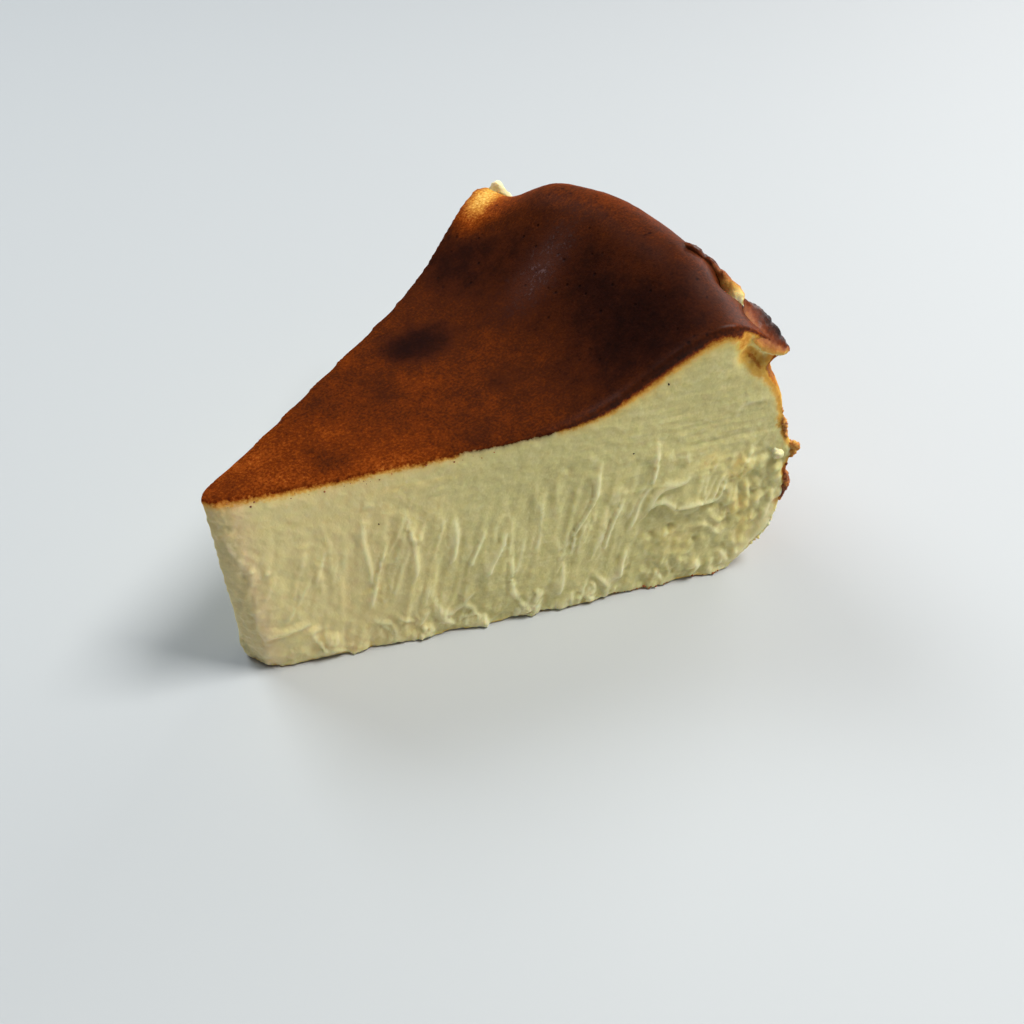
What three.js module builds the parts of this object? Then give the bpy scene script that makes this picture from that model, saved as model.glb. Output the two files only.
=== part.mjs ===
// A slice of burnt-topped Basque cheesecake: about an eighth of a round cake, cut with a knife.
// Millimetres, +Z up. The slice rests on its base, its tip points along -X and its baked rim faces +X.
// It is one solid: the burnt top and the baked wall are the browned skin of the same custard.
import * as THREE from "three";
import { ImprovedNoise } from "three/addons/math/ImprovedNoise.js";
import { mergeVertices } from "three/addons/utils/BufferGeometryUtils.js";

const { clamp, degToRad, lerp, smoothstep } = THREE.MathUtils;

// Driving dimensions of the slice
const CAKE_RADIUS = 100; // middle of the cake to the fattest part of its wall
const SLICE_ANGLE = degToRad(47); // between the two knife cuts
const HALF_ANGLE = SLICE_ANGLE / 2;
const CENTRE_HEIGHT = 41.3; // the sunken middle, at the tip

// The burnt top: a sunken middle and a crown round the rim
const CENTRE_RISE = 2.8; // slow rise from the middle to the rim
const CENTRE_REACH = [0.25 * CAKE_RADIUS, CAKE_RADIUS]; // distances that it rises over
const BACK_RISE = 2.7; // how much higher the back cut stands than the front one
const BACK_REACH = [0, 0.45 * CAKE_RADIUS];
const CROWN_PLACE = 0.85 * CAKE_RADIUS;
const CROWN_DRIFT = 3; // the crown runs this much further out at the back cut
const CROWN_INNER_SLOPE = 16; // width of the slope towards the middle
const CROWN_OUTER_SLOPE = 13; // width of the slope towards the wall
const FRONT_CROWN = 13; // crown above the middle, at the front cut
const BACK_CROWN = 8.7; // at the back cut
const CROWN_SWELL = 5.7; // added between the cuts, where the knife didn't press it
const SWELL_FROM = [degToRad(1), degToRad(13)];
const SWELL_TO = [degToRad(33), degToRad(43)];
const CROWN_PEAK = { turn: degToRad(25.5), wide: degToRad(5), up: 1 }; // its fullest place
const TOP_WAVE = 0.5;
const TOP_WAVE_LENGTH = 17;

// The wall: tucked in at the foot, fattest low down, and rolled in under the crown
const FOOT_TUCK = 8;
const FOOT_RISE = 0.27; // shares of the local height
const BELLY_RISE = 0.42;
const SHOULDER_TUCK = 8.4;
const RIM_ZONE = [0.81 * CAKE_RADIUS, 0.93 * CAKE_RADIUS]; // the wall's roughness grows in over this

// Folds that the baking paper left in the wall, and the rough skin on them
const FOLD_DEPTH = 1.7;
const FOLD_LENGTH = 12;
const FOLD_HEIGHT = 72; // a fold runs nearly upright
const SKIN_DEPTH = 0.9;
const SKIN_LENGTH = 6;

// Crags that stand out of the wall's skin.
// turn is degrees round from the front cut and rise a share of the height.
// out and up are how far the crag stands, wide and tall its size, in millimetres.
const CRAGS = [
  { turn: 0.4, rise: 0.97, out: 4.8, up: 0.8, wide: 4.8, tall: 2.4 }, // broken corner flap
  { turn: 0.4, rise: 0.91, out: -2.4, up: 0.0, wide: 4.0, tall: 1.5 }, // hollow under the flap
  { turn: 0.4, rise: 0.79, out: 1.2, up: 0.0, wide: 8.0, tall: 3.2 }, // bulge below the hollow
  { turn: 8, rise: 0.95, out: 1.4, up: 0.6, wide: 5.0, tall: 3.0 }, // lip behind the flap
  { turn: 0.4, rise: 0.54, out: 2.6, up: 0.4, wide: 2.4, tall: 2.2 }, // upper flake at the cut
  { turn: 0.4, rise: 0.38, out: 2.2, up: 0.0, wide: 2.6, tall: 2.6 }, // lower flake at the cut
  { turn: 18, rise: 0.9, out: 1.7, up: 0.8, wide: 6.0, tall: 4.0 }, // rim crags round the back
  { turn: 29, rise: 0.84, out: 2.1, up: 0.6, wide: 5.0, tall: 5.0 },
  { turn: 38, rise: 0.93, out: 1.6, up: 1.4, wide: 4.5, tall: 3.5 },
  { turn: 46, rise: 0.9, out: 2.4, up: 1.2, wide: 4.0, tall: 4.0 },
];

// Where the crown tore: a dent in the front cut under the flap, and one in the top by the back cut
const FLAP_TEAR = { along: 92, height: 49.5, long: 3.2, tall: 2.4, deep: 1.8 };
const BACK_TEAR = { along: 93, turn: degToRad(43.5), long: 5, wide: 3.5, deep: 2.4 };

// Knife cuts: a soft wave, slanted drag strokes below the smooth band, and smears along the foot
const CUT_WAVE = 0.6;
const CUT_WAVE_LENGTH = 28;
const STROKE_DEPTH = 0.8;
const STROKE_SPACING = 3.8;
const STROKE_LENGTH = 18;
const STROKE_LEAN = 0.3; // sideways run of a stroke for each millimetre of height
const STROKE_TOP = [0.5, 0.78]; // strokes fade out between these shares of the height
const SMEAR_DEPTH = 0.9;
const SMEAR_LENGTH = 8;
const SMEAR_HEIGHT = 11;

// The tip, seen from above: control points of its curve from the back cut round to the front cut.
// It is sharp under the crust and sags to a blunt toe at the foot, mostly towards the back.
const TIP_TOP = [[2.0, 3.8], [-0.9, 2.4], [-0.7, -0.3], [2.2, -0.96]];
const TIP_FOOT = [[5.4, 9.8], [-2.4, 8.2], [3.0, -1.3], [7.0, -3.04]];
const TIP_SAG = 2; // above 1, the sag gathers at the foot
const TIP_FADE = [5, 14]; // the cuts' relief grows in over these distances from the tip

// Places in the noise field, so that no two kinds of relief repeat each other
const TOP_SEED = 0.5;
const FOLD_SEED = 3.3;
const SKIN_SEED = 7.7;
const FRONT_SEED = 2.5;
const BACK_SEED = 9.5;
const STROKE_SEED = 4;
const SMEAR_SEED = 8;

// How finely the skin is divided
const TIP_STEPS = 9;
const CUT_STEPS = 58;
const RIM_STEPS = 46;
const SIDE_ROWS = 22;
const TOP_RINGS = 11;
const RIM_CROWDING = 0.86; // below 1, stations crowd towards the rim
const SPINE = [0.09 * CAKE_RADIUS, 0.7 * CAKE_RADIUS]; // rings of the top and the base close on this line
const EDGE_FADE = 4; // how soon the edge's roughness dies away towards the spine

const noise = new ImprovedNoise();
const bell = (x, width) => Math.exp(-((x / width) ** 2));

// Height of the burnt top at a distance from the tip and an angle from the front cut.
function topHeight(along, turn) {
  const across = turn / SLICE_ANGLE;
  const middle =
    CENTRE_HEIGHT +
    CENTRE_RISE * smoothstep(along, ...CENTRE_REACH) +
    BACK_RISE * across * smoothstep(along, ...BACK_REACH);
  const swell = smoothstep(turn, ...SWELL_FROM) * (1 - smoothstep(turn, ...SWELL_TO));
  const peak = CROWN_PEAK.up * bell(turn - CROWN_PEAK.turn, CROWN_PEAK.wide);
  const crown = lerp(FRONT_CROWN, BACK_CROWN, across) + CROWN_SWELL * swell + peak;
  const fromCrown = along - CROWN_PLACE - CROWN_DRIFT * across;
  const slope = fromCrown < 0 ? CROWN_INNER_SLOPE : CROWN_OUTER_SLOPE;
  const tear =
    BACK_TEAR.deep *
    bell(along - BACK_TEAR.along, BACK_TEAR.long) *
    bell((turn - BACK_TEAR.turn) * along, BACK_TEAR.wide);
  const x = (along * Math.cos(turn)) / TOP_WAVE_LENGTH;
  const y = (along * Math.sin(turn)) / TOP_WAVE_LENGTH;
  return middle + crown * bell(fromCrown, slope) - tear + TOP_WAVE * noise.noise(x, y, TOP_SEED);
}

// Radius of the wall at a share of its height, before its folds and crags.
function wallRadius(rise) {
  const foot = Math.max(0, 1 - rise / FOOT_RISE);
  const shoulder = Math.max(0, (rise - BELLY_RISE) / (1 - BELLY_RISE));
  return CAKE_RADIUS - FOOT_TUCK * foot ** 2 - SHOULDER_TUCK * shoulder ** 2;
}

// How far the folds and the rough skin move the wall out or in.
function foldShift(turn, rise) {
  const arc = turn * CAKE_RADIUS;
  const height = rise * CENTRE_HEIGHT;
  const fold = 0.5 - 2 * Math.abs(noise.noise(arc / FOLD_LENGTH, height / FOLD_HEIGHT, FOLD_SEED));
  const skin = noise.noise(arc / SKIN_LENGTH, height / SKIN_LENGTH, SKIN_SEED);
  return smoothstep(rise, 0, FOOT_RISE) * (FOLD_DEPTH * fold + SKIN_DEPTH * skin);
}

// How far the crags move a point of the wall, out and up.
function cragShift(turn, rise) {
  const shift = { out: 0, up: 0 };
  for (const crag of CRAGS) {
    const near =
      bell((turn - degToRad(crag.turn)) * CAKE_RADIUS, crag.wide) *
      bell((rise - crag.rise) * CENTRE_HEIGHT, crag.tall);
    shift.out += crag.out * near;
    shift.up += crag.up * near;
  }
  return shift;
}

// How far a point near the rim moves outwards with the wall's folds, skin and crags.
const nearRim = (along) => smoothstep(along, ...RIM_ZONE);
function rimShift(along, turn, rise) {
  return nearRim(along) * (foldShift(turn, rise) + cragShift(turn, rise).out);
}

// How far the knife left a cut face proud of its plane.
function cutRelief(along, height, rise, seed) {
  const wave = noise.noise(along / CUT_WAVE_LENGTH, height / CUT_WAVE_LENGTH, seed);
  const slanted = (along - STROKE_LEAN * height) / STROKE_SPACING;
  const drag = noise.noise(slanted, height / STROKE_LENGTH, seed + STROKE_SEED);
  const stroke = drag * (1 - smoothstep(rise, ...STROKE_TOP));
  const lump = noise.noise(along / SMEAR_LENGTH, height / SMEAR_LENGTH, seed + SMEAR_SEED);
  const smear = lump * (1 - smoothstep(height, 0, SMEAR_HEIGHT));
  return CUT_WAVE * wave + STROKE_DEPTH * stroke + SMEAR_DEPTH * smear;
}

// How deep the tear under the corner flap is.
function flapTear(along, height) {
  const { long, tall, deep } = FLAP_TEAR;
  return deep * bell(along - FLAP_TEAR.along, long) * bell(height - FLAP_TEAR.height, tall);
}

// Outline of the slice at a share of its height: the tip, the front cut, the rim and the back cut.
function outline(rise) {
  const sag = (1 - rise) ** TIP_SAG;
  const knot = (i) => new THREE.Vector2(...TIP_TOP[i]).lerp(new THREE.Vector2(...TIP_FOOT[i]), sag);
  const tip = new THREE.CubicBezierCurve(knot(0), knot(1), knot(2), knot(3));
  const rim = new THREE.ArcCurve(0, 0, wallRadius(rise), -HALF_ANGLE, HALF_ANGLE);
  const front = new THREE.LineCurve(tip.getPoint(1), rim.getPoint(0));
  const back = new THREE.LineCurve(rim.getPoint(1), tip.getPoint(0));
  return { tip, front, rim, back };
}

// The stations round the outline: a piece of it, a share of that piece and a share of the spine.
function stations() {
  const list = [];
  for (let i = 0; i < TIP_STEPS; i++) {
    list.push({ piece: "tip", share: i / TIP_STEPS, inward: 0 });
  }
  for (let i = 0; i < CUT_STEPS; i++) {
    const inward = (i / CUT_STEPS) ** RIM_CROWDING;
    list.push({ piece: "front", share: inward, inward });
  }
  for (let i = 0; i < RIM_STEPS; i++) {
    list.push({ piece: "rim", share: i / RIM_STEPS, inward: 1 });
  }
  for (let i = CUT_STEPS; i > 0; i--) {
    const inward = (i / CUT_STEPS) ** RIM_CROWDING;
    list.push({ piece: "back", share: 1 - inward, inward });
  }
  return list;
}

const spinePoint = (station) => new THREE.Vector2(lerp(...SPINE, station.inward), 0);
const turnOf = (point) => clamp(Math.atan2(point.y, point.x) + HALF_ANGLE, 0, SLICE_ANGLE);

// A point of the slice's side, at a station and a share of the height.
function sidePoint(station, rise) {
  const edge = outline(1)[station.piece].getPoint(station.share);
  const point = outline(rise)[station.piece].getPoint(station.share);
  const turn = turnOf(point);
  const top = edge.length() + rimShift(edge.length(), turn, 1);
  const along = point.length() + rimShift(point.length(), turn, rise);
  const height = rise * topHeight(top, turn) + nearRim(along) * cragShift(turn, rise).up;
  point.setLength(along);
  const grown = smoothstep(along, ...TIP_FADE);
  if (station.piece === "front") {
    const relief = grown * cutRelief(along, height, rise, FRONT_SEED) - flapTear(along, height);
    point.x -= relief * Math.sin(HALF_ANGLE);
    point.y -= relief * Math.cos(HALF_ANGLE);
  } else if (station.piece === "back") {
    const relief = grown * cutRelief(along, height, rise, BACK_SEED);
    point.x -= relief * Math.sin(HALF_ANGLE);
    point.y += relief * Math.cos(HALF_ANGLE);
  }
  return new THREE.Vector3(point.x, point.y, height);
}

// A point of the burnt top, on a ring that shrinks from the edge towards the spine.
function topPoint(station, ring) {
  const share = 1 - ring / TOP_RINGS;
  const fade = share ** EDGE_FADE;
  const plain = outline(1)[station.piece].getPoint(station.share);
  const edge = sidePoint(station, 1);
  const edgeFlat = new THREE.Vector2(edge.x, edge.y);
  const flat = spinePoint(station).lerp(plain, share);
  flat.addScaledVector(edgeFlat, fade);
  flat.addScaledVector(plain, -fade);
  const lift = edge.z - topHeight(edgeFlat.length(), turnOf(edgeFlat));
  const height = topHeight(flat.length(), turnOf(flat)) + fade * lift;
  return new THREE.Vector3(flat.x, flat.y, height);
}

// The whole skin starts as a lathe with a row for each level, and each of its vertices is moved into place.
function sliceGeometry() {
  const round = stations();
  const profile = [new THREE.Vector2(0, 0)];
  for (let row = 0; row <= SIDE_ROWS; row++) {
    profile.push(new THREE.Vector2(1, row));
  }
  for (let ring = 1; ring <= TOP_RINGS; ring++) {
    profile.push(new THREE.Vector2(1 - ring / TOP_RINGS, SIDE_ROWS));
  }

  const geometry = new THREE.LatheGeometry(profile, round.length);
  const position = geometry.getAttribute("position");
  for (let i = 0; i < position.count; i++) {
    const station = round[Math.floor(i / profile.length) % round.length];
    const row = (i % profile.length) - 1;
    let place = new THREE.Vector3(spinePoint(station).x, 0, 0);
    if (row > SIDE_ROWS) {
      place = topPoint(station, row - SIDE_ROWS);
    } else if (row >= 0) {
      place = sidePoint(station, row / SIDE_ROWS);
    }
    position.setXYZ(i, place.x, place.y, place.z);
  }
  geometry.deleteAttribute("normal");
  geometry.deleteAttribute("uv");
  const skin = withoutSlivers(mergeVertices(geometry));
  skin.computeVertexNormals();
  return skin;
}

// Drops the triangles that closed to a line where rows meet at the ends of the spine.
function withoutSlivers(geometry) {
  const corners = geometry.getIndex().array;
  const kept = [];
  for (let i = 0; i < corners.length; i += 3) {
    const [a, b, c] = corners.slice(i, i + 3);
    if (a !== b && b !== c && c !== a) {
      kept.push(a, b, c);
    }
  }
  geometry.setIndex(kept);
  return geometry;
}

// The origin is under the middle of the slice, on the surface that it rests on.
function onItsBase(geometry) {
  geometry.computeBoundingBox();
  const middle = geometry.boundingBox.getCenter(new THREE.Vector3());
  return geometry.translate(-middle.x, -middle.y, -geometry.boundingBox.min.z);
}

const custard = new THREE.MeshStandardMaterial({ color: 0xd8c98a, roughness: 0.55, metalness: 0 });
const slice = new THREE.Mesh(onItsBase(sliceGeometry()), custard);
slice.name = "cheesecake_slice";

const cake = new THREE.Group();
cake.add(slice);

export default cake;
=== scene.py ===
# A slice of burnt-topped Basque cheesecake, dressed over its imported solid.
# Blender's units are metres, in the solid's own frame. Sizes below are millimetres unless said otherwise.
import math
import random

import bmesh
import bpy
import numpy as np
from mathutils import Matrix, Vector, noise as field
from mathutils.bvhtree import BVHTree


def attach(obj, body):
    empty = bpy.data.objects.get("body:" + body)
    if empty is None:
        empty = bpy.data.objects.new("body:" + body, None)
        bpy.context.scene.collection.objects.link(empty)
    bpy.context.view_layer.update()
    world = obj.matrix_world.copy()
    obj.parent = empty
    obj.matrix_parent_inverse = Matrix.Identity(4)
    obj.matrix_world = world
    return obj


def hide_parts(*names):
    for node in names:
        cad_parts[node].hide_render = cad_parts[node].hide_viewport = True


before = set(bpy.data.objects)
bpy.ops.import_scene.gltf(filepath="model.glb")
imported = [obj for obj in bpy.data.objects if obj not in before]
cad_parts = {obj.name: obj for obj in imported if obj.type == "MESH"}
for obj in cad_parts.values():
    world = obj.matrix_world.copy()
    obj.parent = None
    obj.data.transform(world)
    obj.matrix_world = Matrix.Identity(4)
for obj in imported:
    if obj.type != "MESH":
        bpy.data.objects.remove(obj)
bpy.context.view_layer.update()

MM = 0.001
NODE = "cheesecake_slice"
APEX = np.array((-50.366, 0.291, 0.0))  # where the two cuts would meet, on the base
HALF_ANGLE = math.radians(23.5)
FRONT_OUT = np.array((-math.sin(HALF_ANGLE), -math.cos(HALF_ANGLE), 0.0))  # away from the front cut
BACK_OUT = np.array((-math.sin(HALF_ANGLE), math.cos(HALF_ANGLE), 0.0))
SKIN_STEP = 0.71  # size of the even skin's faces, halved on the front cut
EVENING_ROUNDS = 26
BACK_EDGE_KEPT = 0.9  # gives back what evening out takes off the top's back edge
LOOKS_UP = 0.35  # least upward part of the normal, for a face of the burnt top
CRUST_FOOT = 38  # no part of the burnt top lies lower
WALL_FROM = 84  # no part of the wall is nearer the tip

# Browning of the burnt top, from 0, uncoloured, to 1, black: distance from the tip, level
BURN_BY_REACH = [
    (0, 0.59), (12, 0.595), (22, 0.65), (33, 0.69), (45, 0.71), (57, 0.76),
    (66, 0.80), (75, 0.83), (82, 0.77), (88, 0.70), (96, 0.62),
]
# Places that baked darker or paler than the top round them, and one paler spot that is a painted sheen: x, y
# from the tip, reach, how much
BURN_SPOTS = [
    (5.4, 1.7, 3.0, 0.06),
    (18.0, -7.5, 3.0, -0.07),
    (19.8, -3.8, 3.4, 0.13),
    (26.0, -9.5, 5.0, -0.08),
    (34.0, -12.5, 5.0, -0.09),
    (26.5, 8.5, 3.5, 0.10),
    (36.0, 8.0, 4.0, 0.07),
    (36.0, 3.5, 2.5, 0.06),
    (29.5, 1.0, 3.0, 0.06),
    (45.6, 11.8, 3.6, 0.25),
    (50.5, 12.5, 3.4, 0.22),
    (50.0, 8.0, 2.6, 0.10),
    (54.0, 10.0, 3.0, 0.09),
    (66.0, 23.0, 5.0, 0.11),
    (69.5, 14.5, 6.0, 0.05),
    (53.5, -6.5, 3.2, 0.09),
    (41.0, -14.0, 4.0, 0.08),
    (71.5, -21.0, 8.0, 0.14),
    (71.0, -11.5, 4.5, 0.02),
    (75.5, -6.5, 6.0, 0.09),
    # paler where the top shines: a painted sheen
    (74.0, 5.0, 4.0, -0.05),
    (25.0, 2.0, 5.0, -0.04),
    (73.5, 28.0, 3.2, -0.16),
    (79.0, 25.0, 4.0, -0.09),
    (77.0, 30.8, 3.8, -0.36),
    (81.5, 32.5, 3.6, -0.34),
    (85.5, 34.0, 3.0, -0.24),
    (80.0, -30.0, 7.0, 0.08),
    (86.0, -16.0, 7.0, 0.05),
]

# Ridges that the knife dragged up on the front cut: strength, then points (along the cut, height)
FRONT_STROKES = [
    (1.0, (23.5, 34.5), (23, 27.5), (23.5, 21), (23.5, 16)),
    (1.2, (27, 26), (25.5, 21.5), (24, 16), (22.5, 11)),
    (0.8, (31, 32.5), (31, 28), (31.5, 24), (31.5, 19), (31, 16)),
    (1.0, (38.5, 29), (39, 25), (38.5, 20.5), (37.5, 17.5)),
    (1.2, (44, 24.5), (43, 21.5), (41.5, 18), (41, 16.5)),
    (1.2, (48, 25.5), (47, 20), (45, 16), (44, 13.5)),
    (0.5, (36.5, 27), (35.5, 23), (34.5, 19.5)),
    (0.5, (18, 30), (16.5, 26.5), (15, 22.5), (13.5, 19)),
    (0.5, (20.5, 27.5), (19.5, 24), (19, 21.5)),
    (0.7, (14.5, 23), (11, 17), (7.5, 11.5)),
    (1.3, (12, 10.5), (8, 9.5), (3.5, 9)),
    (0.9, (22.5, 8.5), (24, 7), (26, 5.5), (26.5, 2)),
    (0.8, (26.5, 8.5), (28, 6.5), (30.5, 5)),
    (1.1, (34.5, 10), (35, 6), (36, 3.5), (37.5, 2)),
    (0.8, (42, 10.5), (39, 7), (36, 4)),
    (0.8, (48.5, 11.5), (48.5, 8.5), (49.5, 5.5)),
    (0.5, (34, 16), (33, 12), (32, 8)),
    (0.6, (33, 27), (32.5, 24.5)),
    (0.6, (26, 34), (24.5, 34.5), (23.5, 34)),
    (0.4, (62.5, 37.5), (63.5, 33.5)),
    (1.3, (65, 34), (64.5, 31.5), (64, 27), (62.5, 23.5), (60.5, 20), (59.5, 14)),
    (1.2, (69.5, 25), (68, 21.5), (66.5, 16.5), (66, 13)),
    (1.1, (75, 36.5), (75, 31.5), (74.5, 26.5)),
    (1.0, (74.5, 27), (72.5, 23.5), (71.5, 19.5), (70.5, 17)),
    (1.2, (81.5, 27.5), (80.5, 26), (76.5, 25), (75, 23), (74, 20.5)),
    (0.7, (79.5, 20.5), (79.5, 18)),
    (0.8, (58, 14), (58, 9.5), (57.5, 4)),
    (1.3, (70.5, 12.5), (69.5, 8.5), (69.5, 5)),
    (1.0, (48.5, 17), (48.5, 14), (48.5, 8), (50, 4.5), (51.5, 1.5)),
    (0.6, (57, 18.5), (57.5, 15.5)),
    (0.4, (80.5, 32.5), (81, 30)),
    (0.4, (77.5, 34), (78, 31)),
    (0.5, (89, 37.5), (89.5, 39.5), (91.5, 40.5), (95.5, 40.5)),
    (0.8, (93, 22.5), (94, 18)),
    (0.6, (81, 9), (81.5, 2.5)),
    (0.5, (49, 27), (48.5, 21.5), (48, 17)),
    (0.5, (54.5, 29.5), (54, 23), (53, 14.5)),
    (1.0, (36, 7), (35.5, 5), (35.5, 3)),
    (0.9, (43, 4), (43, 2), (43.5, 0)),
    (0.8, (34.5, 10.5), (34.5, 8), (35.5, 5)),
    (0.8, (29.5, 3), (29.5, 0)),
    (0.8, (31, 2.5), (31, 0)),
    (0.7, (32.5, 4.5), (33, 2.5), (33.5, 1.5)),
    (0.8, (39, 2.5), (40.5, 4), (42.5, 3)),
    (0.9, (61.5, 3), (63, 2), (64.5, 0.5)),
    (0.7, (26, 3.5), (26.5, 1)),
    (0.8, (83.5, 14), (85, 14.5), (86, 14), (87.5, 12.5), (89.5, 10)),
    (0.9, (91.5, 14.5), (92.5, 13.5), (92, 13)),
    (0.9, (91.5, 10), (92.5, 7), (93, 4)),
    (0.7, (77.5, 16), (78, 14.5), (79, 14), (79.5, 15)),
    (0.7, (73.5, 15), (74, 14), (75, 13)),
    (0.7, (88, 4), (88, 0)),
    (0.6, (84.5, 17.5), (86.5, 17.5), (87.5, 15), (90.5, 14)),
    (1.1, (3, 25), (4, 25.5), (4.5, 25)),
    (1.1, (6, 24.5), (6.5, 24.5), (6.5, 24)),
    (1.2, (14, 8.5), (13, 8), (12, 8), (12, 6.5), (13, 4), (13.5, 2)),
    (0.9, (13.5, 3.5), (14.5, 3), (15.5, 2), (17.5, 1), (18.5, 0)),
    (0.8, (23.5, 8.5), (24, 6.5), (25.5, 4), (26.5, 2.5), (26.5, 1)),
]
# The lower edge of the smooth layer over the torn patch, and the knife's first edge at the tip
LAYER_EDGE = [
    (74.5, 20.5), (75.5, 22), (77, 22), (79.5, 20), (82, 20),
    (85, 20), (87.5, 20), (88.5, 22), (89, 23.5), (88, 25),
]
TIP_EDGE = [
    (1.5, 35.5), (1.5, 32), (2.5, 29), (3, 27), (4, 24),
    (4, 20), (3.5, 16), (3, 12), (3.5, 9), (4, 4),
]
# Pits in the front cut: along, height, radius, depth
CUT_PITS = [
    (78.8, 15.3, 0.8, 0.9), (75.1, 14.5, 0.6, 0.5), (84.0, 10.8, 0.7, 0.8), (86.7, 18.6, 0.9, 0.6),
    (90.2, 13.2, 1.0, 0.7), (82.0, 17.0, 0.8, 0.5), (76.0, 8.0, 0.6, 0.4), (59.0, 33.9, 0.5, 0.3),
]
# Thickness of the burnt top where the knife cut it: distance from the tip, thickness
CRUST_THICKNESS = [(0, 0.8), (40, 0.9), (58, 1.2), (70, 2.2), (86, 3.0), (98, 3.0)]
# How far the burnt colour runs into the cut below that: distance from the tip, reach
CRUST_BLEED = [(0, 1.0), (28, 0.7), (42, 0.4), (56, 0.4), (66, 0.75), (78, 1.1), (98, 1.2)]
# Where the skin tore away from the crown: turn in degrees, distance from the tip, radius, depth
CROWN_TEAR = (7.6, 92.0, 2.6, 1.6)
# Patches of the front cut where torn crust shows: along, height, half width, half height, level
CUT_BAKES = [
    (89.2, 53.2, 1.5, 2.0, 0.32), (89.3, 50.4, 1.2, 1.8, 0.22), (91.4, 52.6, 2.0, 1.6, 0.14),
    (93.8, 51.4, 2.0, 1.2, 0.10), (95.8, 49.8, 1.8, 1.2, 0.13), (86.0, 29.5, 2.5, 2.0, 0.06),
    (91.5, 26.0, 2.0, 3.0, 0.09), (92.5, 17.0, 2.0, 2.5, 0.10), (80.0, 12.0, 4.0, 3.0, 0.05),
    (12.0, 33.5, 10.0, 0.8, 0.07), (30.0, 37.0, 9.0, 0.7, 0.05),
    (94.2, 11.5, 1.8, 3.5, 0.09),
]
# How far the wall's browning shows on the cut, by height
SKIN_WIDTH = [(0, 0.5), (14, 0.8), (30, 0.9), (34, 1.4), (47, 1.5), (52, 1.2), (60, 1.0)]
# Browning of the wall near the front corner, by height
CORNER_SKIN = [
    (0, 0.26), (2, 0.18), (8, 0.11), (15, 0.12), (17, 0.42), (23, 0.46), (25, 0.24),
    (30, 0.26), (33, 0.44), (36, 0.27), (48, 0.24), (58, 0.50),
]
# The loose flap of crust at the front corner: for each row its outer and inner edge, as turn from the
# front cut in degrees, distance from the tip and height, and how brown each edge is
CORNER_FLAP = [
    ((5.2, 92.6, 55.9, 0.66), (3.9, 91.2, 55.5, 0.52)),
    ((4.0, 93.9, 55.4, 0.88), (2.2, 90.6, 54.8, 0.40)),
    ((3.0, 95.0, 54.3, 0.95), (0.9, 90.6, 53.6, 0.32)),
    ((2.2, 96.0, 53.0, 0.98), (0.1, 91.2, 52.2, 0.26)),
    ((1.5, 96.9, 51.5, 0.98), (-0.1, 92.6, 50.8, 0.24)),
    ((1.0, 97.5, 50.3, 0.86), (-0.1, 94.8, 49.8, 0.20)),
    ((0.7, 97.9, 49.5, 0.42), (0.2, 96.8, 49.1, 0.14)),
]
# The torn edge of the skin that stands up behind the crown, in the same terms
CROWN_LIP = [
    ((12.6, 87.6, 61.9, 0.80), (12.6, 88.6, 60.4, 0.70)),
    ((12.0, 88.2, 62.0, 0.80), (12.0, 89.4, 60.0, 0.66)),
    ((11.0, 89.3, 60.8, 0.78), (11.0, 90.6, 58.6, 0.60)),
    ((10.0, 90.4, 59.9, 0.76), (10.0, 91.8, 57.4, 0.52)),
    ((9.0, 91.4, 58.8, 0.70), (9.0, 91.6, 54.8, 0.30)),
    ((8.0, 92.3, 57.8, 0.62), (8.0, 91.6, 53.6, 0.14)),
    ((7.0, 93.0, 57.0, 0.46), (7.0, 91.6, 53.0, 0.08)),
    ((6.0, 93.1, 56.2, 0.30), (6.0, 91.6, 52.8, 0.06)),
    ((5.4, 92.8, 55.2, 0.20), (5.4, 92.6, 53.6, 0.08)),
]
# The spike of pale custard that tore up at the back corner
BACK_SPIKE = [
    ((45.2, 91.8, 56.2, 0.02), (44.9, 91.7, 56.1, 0.02)),
    ((45.8, 91.2, 55.0, 0.03), (44.0, 91.6, 55.0, 0.02)),
    ((46.3, 90.8, 53.8, 0.06), (43.0, 91.2, 53.8, 0.03)),
    ((46.6, 90.4, 52.4, 0.14), (42.2, 90.8, 52.4, 0.06)),
]
# Clumps of crumbs that stick to the wall at the front corner: turn in degrees, height, how far they stand
# out, half width, half height, count, largest crumb, least and most brown
CRUMB_CLUMPS = [
    (0.2, 28.2, 1.2, 0.8, 1.0, 90, 0.55, 0.24, 0.38),
    (0.3, 19.8, 0.6, 1.0, 2.6, 170, 0.50, 0.34, 0.62),
    (0.3, 33.8, 0.3, 1.0, 2.2, 90, 0.50, 0.26, 0.46),
    (0.4, 9.0, 0.1, 1.0, 4.0, 26, 0.50, 0.01, 0.07),
]
# Pale curds that stand out of the front cut by its corner: along, height, size
CUT_CURDS = [(98.9, 27.8, 0.9), (98.4, 27.3, 0.7), (98.3, 28.4, 0.6)]
# Dark specks on the front cut: along, height
BLACK_SPECKS = [(76.0, 47.7), (70.7, 34.5), (26.1, 30.2)]
CRUMB_SEED = 23
STROKE_SEED = 11
PLATE_SEED = 7
FRONT_SIDE, BACK_SIDE = 0.0, 400.0  # where each cut's ridges are laid out

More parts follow.
